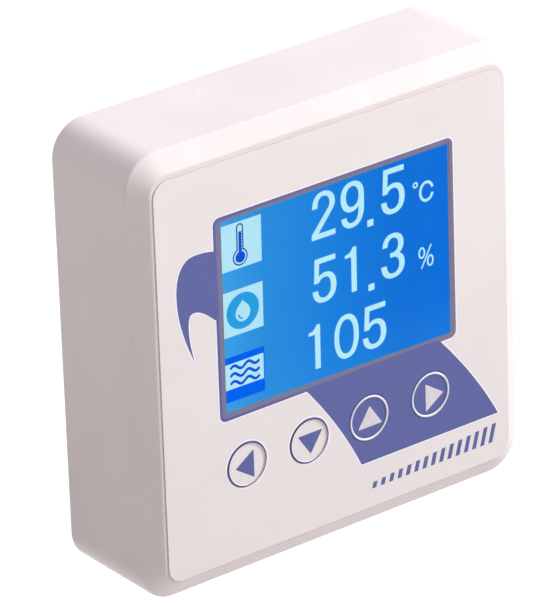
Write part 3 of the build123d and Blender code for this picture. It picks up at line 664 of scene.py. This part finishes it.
def slot_materials():
    """One finish for each material slot of the record."""
    return {
        "housing_plastic": moulded("housing_plastic", linear(HOUSING_COLOUR), 0.6, Specular_IOR_Level=0.05),
        "plate_plastic": moulded("plate_plastic", linear(PLATE_COLOUR), 0.5, relief=0.01),
        "overlay_film": film("overlay_film", linear(SHEET_COLOUR)),
        "window_clear": clear_sheet("window_clear"),
        "key_pale": film("key_pale", linear(SHEET_COLOUR)),
        "key_purple": printed("key_purple", linear(PURPLE)),
        "lcd_picture": picture_ground("lcd_picture"),
        "tray_steel": metal("tray_steel", (0.58, 0.58, 0.6), 0.35),
        "backlight_white": moulded("backlight_white", (0.85, 0.85, 0.84), 0.4),
        "foam_grey": foam("foam_grey", (0.06, 0.06, 0.065)),
        "flex_amber": flat_cable("flex_amber"),
        "connector_ivory": moulded("connector_ivory", (0.74, 0.68, 0.52), 0.4),
        "board_green": circuit_board("board_green"),
        "chip_black": moulded("chip_black", (0.018, 0.018, 0.02), 0.55, grain=0.1, relief=0.01),
        "screw_steel": metal("screw_steel", (0.66, 0.66, 0.68), 0.28, stretch=(1.0, 1.0, 1.0)),
        "can_aluminium": metal("can_aluminium", (0.8, 0.81, 0.82), 0.3, stretch=(1.0, 8.0, 1.0)),
        "ferrite_grey": moulded("ferrite_grey", (0.05, 0.05, 0.055), 0.6, grain=0.15, relief=0.02),
        "pin_brass": metal("pin_brass", (0.78, 0.57, 0.25), 0.25, stretch=(1.0, 6.0, 1.0)),
        "terminal_green": moulded("terminal_green", (0.02, 0.22, 0.08), 0.42),
        "sensor_grey": moulded("sensor_grey", (0.09, 0.11, 0.14), 0.5),
        "fan_black": moulded("fan_black", (0.02, 0.02, 0.022), 0.45),
        "quartz_can": metal("quartz_can", (0.75, 0.74, 0.72), 0.22, stretch=(1.0, 1.0, 1.0)),
    }


def dress_cad_nodes(finishes):
    """Give each CAD node the finish of its slot."""
    slots = {part["node"]: part["material_slot"] for part in frame["record"]["subparts"]}
    for name, node in NODES.items():
        node.data.materials.clear()
        node.data.materials.append(finishes[slots[name]])


# =====================================================================================
# print on the front sheet
# =====================================================================================
def print_on_sheet(name, shapes, ink, height=INK):
    """Thin layer of print on the front sheet."""
    plate(name, shapes, SHEET_FACE - height, SHEET_FACE, ink, "monitor")


def border_box(amount, radius):
    """The border's outline, moved inwards."""
    left, right, low, high = BORDER
    return rounded_box(left + amount, right - amount, low + amount, high - amount, radius)


def printed_border(white):
    """Frame round the display: a darker outer line and a paler band, painted shade and painted light of the
    border's relief, and a brown-grey inner line.
    """
    opening = list(OPENING)
    lip = grown(opening, BORDER_LIP)
    line_in = border_box(BORDER_LINE, BORDER_R - BORDER_LINE)
    # the outer line and the band are shaded and lit copies of the border's purple: painted shade and
    # painted light
    shade_ink = printed("border_painted_shade", linear(BORDER_SHADE_PURPLE), colour_right=linear(BORDER_RIGHT))
    band = printed("border_painted_light", linear(BORDER_LIT_PURPLE), colour_right=linear(BORDER_RIGHT))
    grey = printed("ink_border_lip", linear(BROWN_GREY))
    line_out = border_box(0, BORDER_R)
    print_on_sheet("border_shade_line", [(line_out, [line_in])], shade_ink, BORDER_INK)
    print_on_sheet("border_lit_band", [(line_in, [lip])], band, BORDER_INK)
    print_on_sheet("border_lip", [(lip, [opening])], grey, BORDER_INK)
    under = border_box(-UNDERPRINT, BORDER_R + UNDERPRINT)
    print_on_sheet("underprint_border", [(under, [opening])], white, UNDER_BORDER_INK)


def side_tab_outline():
    """Curved tab that hooks down at the left of the display."""
    edge = BORDER[0] + BORDER_LINE
    return drawn(
        (edge, 30.8),
        ((-39.0, 31.5), (-42.0, 31.9), (-44.4, 31.4)),
        ((-47.5, 30.3), (-48.7, 26.4), (-48.7, 22.0)),
        ((-48.7, 15.2), (-46.6, 9.4), (-43.8, 2.9)),
        ((-45.0, 7.0), (-45.4, 10.2), (-45.4, 12.6)),
        ((-45.4, 15.4), (-45.0, 16.5), (-43.6, 16.5)),
        ((-41.2, 16.5), (-39.2, 14.2), (edge, 11.6)),
    )


def slanted_block_outline():
    """Slanted block below the display, with gently bowed sides."""
    top = BORDER[2] + BORDER_LINE
    return drawn(
        (-10.6, top),
        ((-5.2, -21.6), (1.5, -30.6), (6.6, BLOCK_FOOT)),
        (51.2, BLOCK_FOOT),
        ((46.2, -32.3), (40.2, -24.0), (32.2, top)),
    )


def level_marks():
    """Row of slanted bars that grow to the right, as a plain scale under the block."""
    shapes = []
    for i in range(MARK_COUNT):
        tall = MARK_TALL[0] + (MARK_TALL[1] - MARK_TALL[0]) * i / (MARK_COUNT - 1)
        left = MARK_FIRST + i * MARK_PITCH
        right = left + MARK_WIDTH
        top = MARK_BASE + tall
        lean = MARK_SLANT * tall
        bar = [(left, MARK_BASE), (right, MARK_BASE), (right + lean, top), (left + lean, top)]
        shapes.append((bar, []))
    return shapes


def round_key(name, beyond):
    """Circle round a key, beyond its edge by the given amount."""
    return oval(*key_centre(name), KEY_RING_R + beyond, KEY_RING_R + beyond)


def print_front_sheet():
    """Everything printed on the front sheet, with white under the purple and round the pale keys; the white
    round the pale keys also covers their gaps as painted light.
    """
    purple = printed("ink_purple", linear(PURPLE))
    white = printed("ink_white", linear(WHITE_INK))
    key_holes = [round_key(name, KEY_GAP) for name in PURPLE_KEYS]
    tab, block = side_tab_outline(), slanted_block_outline()
    under_tab, under_block = grown(tab, UNDERPRINT), grown(block, UNDERPRINT)
    printed_border(white)
    print_on_sheet("underprint_tab", [(under_tab, [])], white, UNDER_TAB_INK)
    print_on_sheet("underprint_block", [(under_block, key_holes)], white, UNDER_BLOCK_INK)
    # white rings round the pale keys, over the gaps round them: painted light that hides the gaps' shade
    gap_covers = [(round_key(name, GAP_COVER_W), [round_key(name, GAP_COVER_CLEARANCE)]) for name in PALE_KEYS]
    print_on_sheet("key_gap_painted_light", gap_covers, white, GAP_COVER_INK)
    print_on_sheet("side_tab", [(tab, [])], purple)
    print_on_sheet("slanted_block", [(block, key_holes)], purple)
    print_on_sheet("level_marks", level_marks(), purple)


# =====================================================================================
# keys
# =====================================================================================
def key_arrow(name, ink):
    """Triangle with slightly rounded corners, pointing the way the key is named."""
    c, s = towards({"right": 0, "up": 90, "left": 180, "down": 270}[name])
    back = ARROW_AHEAD - ARROW_LENGTH / 2
    tips = ((back + ARROW_LENGTH, 0.0), (back, ARROW_HALF), (back, -ARROW_HALF))
    middle = back + ARROW_LENGTH / 3
    outline = []
    for i, (tip_x, tip_z) in enumerate(tips):
        kept = 1 - 2 * ARROW_CORNER / math.hypot(tip_x - middle, tip_z)
        x = middle + (tip_x - middle) * kept
        outline += arc(x, tip_z * kept, ARROW_CORNER, ARROW_CORNER, 120 * i - 60, 120 * i + 60, 6)
    cx, cz = key_centre(name)
    cx += ARROW_SHIFT[name][0]
    cz += ARROW_SHIFT[name][1]
    turned = [(cx + x * c - z * s, cz + x * s + z * c) for x, z in outline]
    plate("key_arrow_" + name, [(turned, [])], KEY_FACE - INK, KEY_FACE, ink, "key_" + name)


def key_cap(name, face_material, ring_material, inked):
    """Cup-shaped key with a flat face inside a raised, rounded ring, whose inked facets are coloured."""
    low, high = node_box_mm("key_" + name)
    rear = high.y
    flange_r = (high.x - low.x) / 2
    flange_face = rear - KEY_FLANGE_T
    roof = KEY_FACE + KEY_ROOF_T
    plunger_end = rear - KEY_PLUNGER_END
    ring_middle = KEY_RING_R - KEY_RING_W / 2
    profile = [(radius, KEY_FACE, 0) for radius in (0.0, KEY_FACE_MIDWAY, KEY_FACE_EDGE)]
    for i in range(RING_STEPS + 1):
        x, lift = towards(180 - 180 * i / RING_STEPS)
        look = 1 if inked[0] <= i < inked[1] else 0
        profile.append((ring_middle + KEY_RING_W / 2 * x, KEY_FACE - KEY_RING_H * lift, look))
    outside_and_hollow = (
        (KEY_RING_R, KEY_FACE + KEY_RING_FOOT),
        (KEY_RING_R, flange_face),
        (flange_r, flange_face),
        (flange_r, rear),
        (KEY_HOLLOW_R, rear),
        (KEY_HOLLOW_R, roof),
        (KEY_PLUNGER_R, roof),
        (KEY_PLUNGER_R, plunger_end),
        (0.0, plunger_end),
    )
    profile += [(radius, depth, 0) for radius, depth in outside_and_hollow]
    looks = [face_material, ring_material]
    cap = revolve("key_cap_" + name, profile, key_centre(name), looks, "key_" + name)
    cap.modifiers.new("crisp", "EDGE_SPLIT").split_angle = math.radians(40)
    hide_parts("key_" + name)


def make_keys(finishes):
    """The four keys in the place of their CAD nodes, with their arrows."""
    purple = printed("ink_key_purple", linear(PURPLE))
    purple_ring = printed("ink_ring_purple", linear(RING_PURPLE))
    pale = printed("ink_key_pale", linear(PALE_INK))
    pale_ring = printed("ink_ring_pale", linear(RING_PALE))
    for name in PALE_KEYS:
        key_cap(name, finishes["key_pale"], purple_ring, RING_INK_PALE)
        key_arrow(name, purple)
    for name in PURPLE_KEYS:
        key_cap(name, finishes["key_purple"], pale_ring, RING_INK_PURPLE)
        key_arrow(name, pale)


# =====================================================================================
# the display's picture, drawn about its middle
# =====================================================================================
def on_glass(points):
    """Turn a shape of the picture to the panel's tilt and move it to the panel."""
    c, s = towards(PICTURE_TILT)
    cx, cz = PICTURE_MIDDLE
    return [(cx + x * c - z * s, cz + x * s + z * c) for x, z in points]


def layer(name, shapes, material, level=1):
    """Shapes of the picture as a thin layer on the glass; a higher level lies over a lower one."""
    placed = [(on_glass(outline), [on_glass(hole) for hole in holes]) for outline, holes in shapes]
    plate(name, placed, GLASS_FACE - LAYER * level, GLASS_FACE, material, "monitor")


def numeral_shapes():
    """Condensed numerals with flat ends, drawn from their lower left corner, GLYPH_H tall."""
    h = GLYPH_H
    zero = oval(3.85, h / 2, 3.85, h / 2, 2.25)
    zero_eye = oval(3.8, h / 2, 2.35, h / 2 - 1.38, 2.2)
    one = drawn(
        (3.6, 0.0), (3.6, h), (2.4, h),
        ((2.1, 11.1), (1.3, 10.6), (0.0, 10.5)),
        (0.0, 9.65), (1.95, 9.65), (1.95, 0.0),
    )
    two = drawn(
        (0.3, 8.1),
        ((0.3, 10.6), (1.6, h), (3.75, h)),
        ((5.9, h), (7.4, 10.9), (7.4, 8.8)),
        ((7.4, 7.9), (7.0, 7.2), (6.2, 6.25)),
        (2.1, 1.4), (7.4, 1.4), (7.4, 0.0), (0.0, 0.0), (0.0, 1.45), (5.1, 7.3),
        ((5.6, 7.9), (5.75, 8.3), (5.75, 8.85)),
        ((5.75, 10.1), (5.0, 10.95), (3.75, 10.95)),
        ((2.6, 10.95), (1.95, 9.9), (1.95, 8.1)),
    )
    three = drawn(
        (0.6, 8.8),
        ((0.7, 10.9), (1.9, h), (3.9, h)),
        ((6.0, h), (7.3, 10.9), (7.3, 9.1)),
        ((7.3, 7.8), (6.8, 6.9), (5.9, 6.4)),
        ((7.0, 5.9), (7.6, 4.9), (7.6, 3.5)),
        ((7.6, 1.4), (6.0, 0.0), (3.8, 0.0)),
        ((1.6, 0.0), (0.2, 1.4), (0.1, 3.8)),
        (1.85, 3.8),
        ((1.95, 2.2), (2.6, 1.3), (3.8, 1.3)),
        ((5.1, 1.3), (5.85, 2.2), (5.85, 3.5)),
        ((5.85, 5.0), (5.1, 5.7), (3.7, 5.7)),
        (3.0, 5.7), (3.0, 6.95), (3.7, 6.95),
        ((5.0, 6.95), (5.6, 7.8), (5.6, 9.0)),
        ((5.6, 10.2), (4.9, 10.95), (3.9, 10.95)),
        ((2.9, 10.95), (2.25, 10.1), (2.2, 8.8)),
    )
    five = drawn(
        (0.8, h), (7.3, h), (7.3, 10.75), (2.2, 10.75), (2.0, 7.35),
        ((2.6, 7.8), (3.3, 8.05), (4.1, 8.05)),
        ((6.2, 8.05), (7.5, 6.5), (7.5, 4.1)),
        ((7.5, 1.5), (5.9, 0.0), (3.6, 0.0)),
        ((1.5, 0.0), (0.1, 1.3), (0.0, 3.6)),
        (1.65, 3.6),
        ((1.8, 2.1), (2.5, 1.3), (3.6, 1.3)),
        ((5.0, 1.3), (5.75, 2.4), (5.75, 4.1)),
        ((5.75, 5.9), (5.1, 6.8), (3.9, 6.8)),
        ((3.1, 6.8), (2.4, 6.4), (2.0, 5.6)),
        (0.5, 5.6),
    )
    nine = drawn(
        (0.1, 3.0),
        ((0.2, 1.2), (1.5, 0.0), (3.3, 0.0)),
        ((6.0, 0.0), (7.3, 2.0), (7.3, 5.4)),
        (7.3, 8.3),
        ((7.3, 10.7), (5.9, h), (3.65, h)),
        ((1.4, h), (0.0, 10.7), (0.0, 8.2)),
        ((0.0, 5.7), (1.4, 4.2), (3.3, 4.2)),
        ((4.3, 4.2), (5.1, 4.6), (5.6, 5.4)),
        ((5.6, 2.6), (4.9, 1.3), (3.4, 1.3)),
        ((2.5, 1.3), (1.85, 1.9), (1.75, 3.0)),
    )
    nine_eye = oval(3.65, 8.2, 2.0, 2.72, 2.15)
    return {
        "0": (zero, [zero_eye]),
        "1": (one, []),
        "2": (two, []),
        "3": (three, []),
        "5": (five, []),
        "9": (nine, [nine_eye]),
    }


def row_of_numerals(name, text, lefts, row, material):
    """One reading, without its decimal point; lefts are the left edges of its numerals."""
    base, height = ROWS[row]
    drawings = numeral_shapes()
    shapes = []
    for kind, left in zip(text, lefts):
        outline, holes = drawings[kind]
        moved = [[(left + x, base + z * height / GLYPH_H) for x, z in loop] for loop in (outline, *holes)]
        shapes.append((moved[0], moved[1:]))
    layer(name, shapes, material)


def display_readings():
    """The three readings and their units."""
    bright = lit("lit_numerals", linear(NUMERAL_BLUE))
    row_of_numerals("reading_temperature", "295", (-7.85, 1.35, 14.05), 0, bright)
    row_of_numerals("reading_humidity", "513", (-7.95, 2.35, 13.65), 1, bright)
    row_of_numerals("reading_air", "105", (-9.5, -1.43, 7.55), 2, bright)
    points = [box(*POINT_SIDES, *[ROWS[row][0] + z for z in POINT_HEIGHTS]) for row in (0, 1)]
    layer("decimal_points", [(point, []) for point in points], bright)
    degree = ribbon(oval(*DEGREE_MIDDLE, DEGREE_R, DEGREE_R, steps=24), DEGREE_LINE, closed=True)
    c_line = arc(*UNIT_C_MIDDLE, *UNIT_C_HALF, UNIT_C_MOUTH, 360 - UNIT_C_MOUTH, 28)
    layer("unit_degree", [degree, ribbon(c_line, UNIT_C_LINE)], bright)
    percent = [ribbon(PERCENT_SLASH, SLASH_LINE)]
    for middle in PERCENT_RINGS:
        ring = oval(*middle, *PERCENT_RING_HALF, steps=24)
        percent.append(ribbon(ring, PERCENT_LINE, closed=True))
    layer("unit_percent", percent, bright)


def thermometer(down, bulb_r, half):
    """Outline of a tube with a round top and a bulb."""
    cx, bulb_z = BULB
    top = TUBE_TOP - down
    meet = math.degrees(math.asin(half / bulb_r))
    points = arc(cx, top - half, half, half, 0, 180, 14)
    points += arc(cx, bulb_z, bulb_r, bulb_r, 90 + meet, 450 - meet, 36)
    return points


def drop(cx, cz, radius, rise):
    """Drop with a round foot and a point above it."""
    foot = arc(cx, cz, radius, radius, 160, 380, 30)
    belly_x, belly_z = radius * 0.8, cz + radius * 0.9
    neck_x, neck_z = 0.3, cz + rise * 0.8
    right = curve(foot[-1], (cx + belly_x, belly_z), (cx + neck_x, neck_z), (cx, cz + rise), 10)
    left = curve(right[-1], (cx - neck_x, neck_z), (cx - belly_x, belly_z), foot[0], 10)
    return foot + right + left[:-1]


def wave(z, steps=36):
    """Wavy line across the lowest tile."""
    left, right = WAVE_SIDES
    points = []
    for i in range(steps + 1):
        share = i / steps
        swing = math.sin(2 * math.pi * WAVE_COUNT * share)
        points.append((left + (right - left) * share, z + WAVE_HEIGHT * swing))
    return points


def display_tiles():
    """The three tiles at the left with their pictograms."""
    tile_light = lit("lit_tile", linear(TILE_BLUE), linear(TILE_BLUE_SOFT))
    deep = lit("lit_deep_blue", linear(DEEP_BLUE))
    icon = lit("lit_icon_blue", linear(ICON_BLUE))
    line = lit("lit_icon_line", linear(ICON_LINE))
    disc = lit("lit_disc", linear(DISC_BLUE))
    grounds = {"temperature": tile_light, "humidity": tile_light, "air": deep}
    for (name, ground), heights in zip(grounds.items(), TILES):
        layer("tile_" + name, [(box(*TILE_SIDES, *heights), [])], ground)

    layer("thermometer_edge", [(thermometer(*THERMOMETER_EDGE), [])], line, 2)
    layer("thermometer_glass", [(thermometer(*THERMOMETER_GLASS), [])], tile_light, 3)
    layer("thermometer_liquid", [(thermometer(*THERMOMETER_LIQUID), [])], icon, 4)
    ticks = []
    for i in range(TICK_COUNT):
        z = TICK_FIRST + TICK_PITCH * i
        tick = box(BULB[0] + TICK_SIDES[0], BULB[0] + TICK_SIDES[1], z - TICK_HALF, z + TICK_HALF)
        ticks.append((tick, []))
    layer("thermometer_ticks", ticks, line, 5)

    layer("humidity_disc", [(oval(*DISC_MIDDLE, *DISC_HALF), [])], disc, 2)
    layer("humidity_drop", [(drop(*DROP_MIDDLE, DROP_R, DROP_RISE), [])], tile_light, 3)
    glint = arc(*DROP_MIDDLE, GLINT_R, GLINT_R, 185, 265, 10)
    layer("humidity_glint", [ribbon(glint, GLINT_LINE)], disc, 4)

    below, above, beside = BAND_MARGINS
    band_low, band_high = TILES[2][0] + below, TILES[2][1] - above
    band = box(TILE_SIDES[0], TILE_SIDES[1] - beside, band_low, band_high)
    layer("air_band", [(band, [])], tile_light, 2)
    middle = (band_low + band_high) / 2
    layer("air_waves", [ribbon(wave(middle + step), WAVE_LINE) for step in WAVE_STEPS], icon, 3)


# =====================================================================================
# camera, floor and light
# =====================================================================================
def make_camera():
    """Camera on a line from the middle of the front, aimed a little beside it and rolled."""
    origin = Vector(CAMERA_ORIGIN)
    az, el = math.radians(CAMERA_AZIMUTH), math.radians(CAMERA_ELEVATION)
    away = Vector((math.sin(az) * math.cos(el), -math.cos(az) * math.cos(el), math.sin(el)))
    place = origin + away * CAMERA_DISTANCE
    target = origin + Vector((CAMERA_AIM[0], 0, CAMERA_AIM[1]))
    forward = (target - place).normalized()
    level = forward.to_track_quat("-Z", "Y").to_matrix()
    roll = Matrix.Rotation(math.radians(CAMERA_ROLL), 3, forward)
    data = bpy.data.cameras.new("camera")
    data.lens = CAMERA_LENS
    data.sensor_width = CAMERA_SENSOR
    data.clip_start, data.clip_end = CAMERA_CLIP
    camera = bpy.data.objects.new("camera", data)
    camera.matrix_world = Matrix.Translation(place * MM) @ (roll @ level).to_4x4()
    bpy.context.scene.collection.objects.link(camera)
    bpy.context.scene.camera = camera


def soft_light(name, place, size, power, colour):
    """Square soft box that faces the object from the direction of a place."""
    data = bpy.data.lights.new(name, "AREA")
    data.shape = "SQUARE"
    data.size = size
    data.energy = power
    data.color = colour
    light = bpy.data.objects.new(name, data)
    direction = Vector(place).normalized()
    aim = (-direction).to_track_quat("-Z", "Y").to_matrix().to_4x4()
    light.matrix_world = Matrix.Translation(direction * LIGHT_DISTANCE) @ aim
    bpy.context.scene.collection.objects.link(light)


def make_stage():
    """White floor that glows softly, more so further off, as over a light table."""
    z = node_box_mm("front_housing")[0].z * MM - FLOOR_DROP
    corners = [(x, y, z) for x, y in box(-FLOOR_HALF, FLOOR_HALF, -FLOOR_HALF, FLOOR_HALF)]
    mesh = bpy.data.meshes.new("floor")
    mesh.from_pydata(corners, [], [(0, 1, 2, 3)])
    floor = bpy.data.objects.new("floor", mesh)
    bpy.context.scene.collection.objects.link(floor)
    s = Shader("floor", (0.06, 0.06, 0.06), 0.9, Specular_IOR_Level=0.0)
    distance = s.add("ShaderNodeVectorMath")
    distance.operation = "LENGTH"
    s.join(s.place, distance.inputs[0])
    glow = s.between(distance.outputs["Value"], FLOOR_NEAR, FLOOR_FAR, *FLOOR_GLOW)
    s.join(glow, s.surface.inputs["Emission Strength"])
    s.set("Emission Color", (1.0, 1.0, 1.0, 1))
    mesh.materials.append(s.material)


def make_world():
    """A faint light from all round, and plain white where a level view looks past the floor."""
    world = bpy.data.worlds.new("studio")
    world.use_nodes = True
    nodes, links = world.node_tree.nodes, world.node_tree.links
    faint = nodes["Background"]
    faint.inputs["Color"].default_value = WORLD_COLOUR
    faint.inputs["Strength"].default_value = WORLD_LIGHT
    white = nodes.new("ShaderNodeBackground")
    white.inputs["Color"].default_value = (1, 1, 1, 1)
    white.inputs["Strength"].default_value = 1.0
    ray = nodes.new("ShaderNodeLightPath")
    either = nodes.new("ShaderNodeMixShader")
    links.new(ray.outputs["Is Camera Ray"], either.inputs[0])
    links.new(faint.outputs[0], either.inputs[1])
    links.new(white.outputs[0], either.inputs[2])
    links.new(either.outputs[0], nodes["World Output"].inputs["Surface"])
    bpy.context.scene.world = world


def make_light():
    make_world()
    soft_light("key_light", KEY_LIGHT_FROM, KEY_LIGHT_SIZE, KEY_LIGHT_POWER, KEY_LIGHT_COLOUR)
    soft_light("top_light", TOP_LIGHT_FROM, TOP_LIGHT_SIZE, TOP_LIGHT_POWER, TOP_LIGHT_COLOUR)
    bpy.context.scene.view_settings.view_transform = "Standard"


# =====================================================================================
# the whole scene
# =====================================================================================
make_camera()
make_stage()
make_light()
finishes = slot_materials()
dress_cad_nodes(finishes)
print_front_sheet()
make_keys(finishes)
display_tiles()
display_readings()
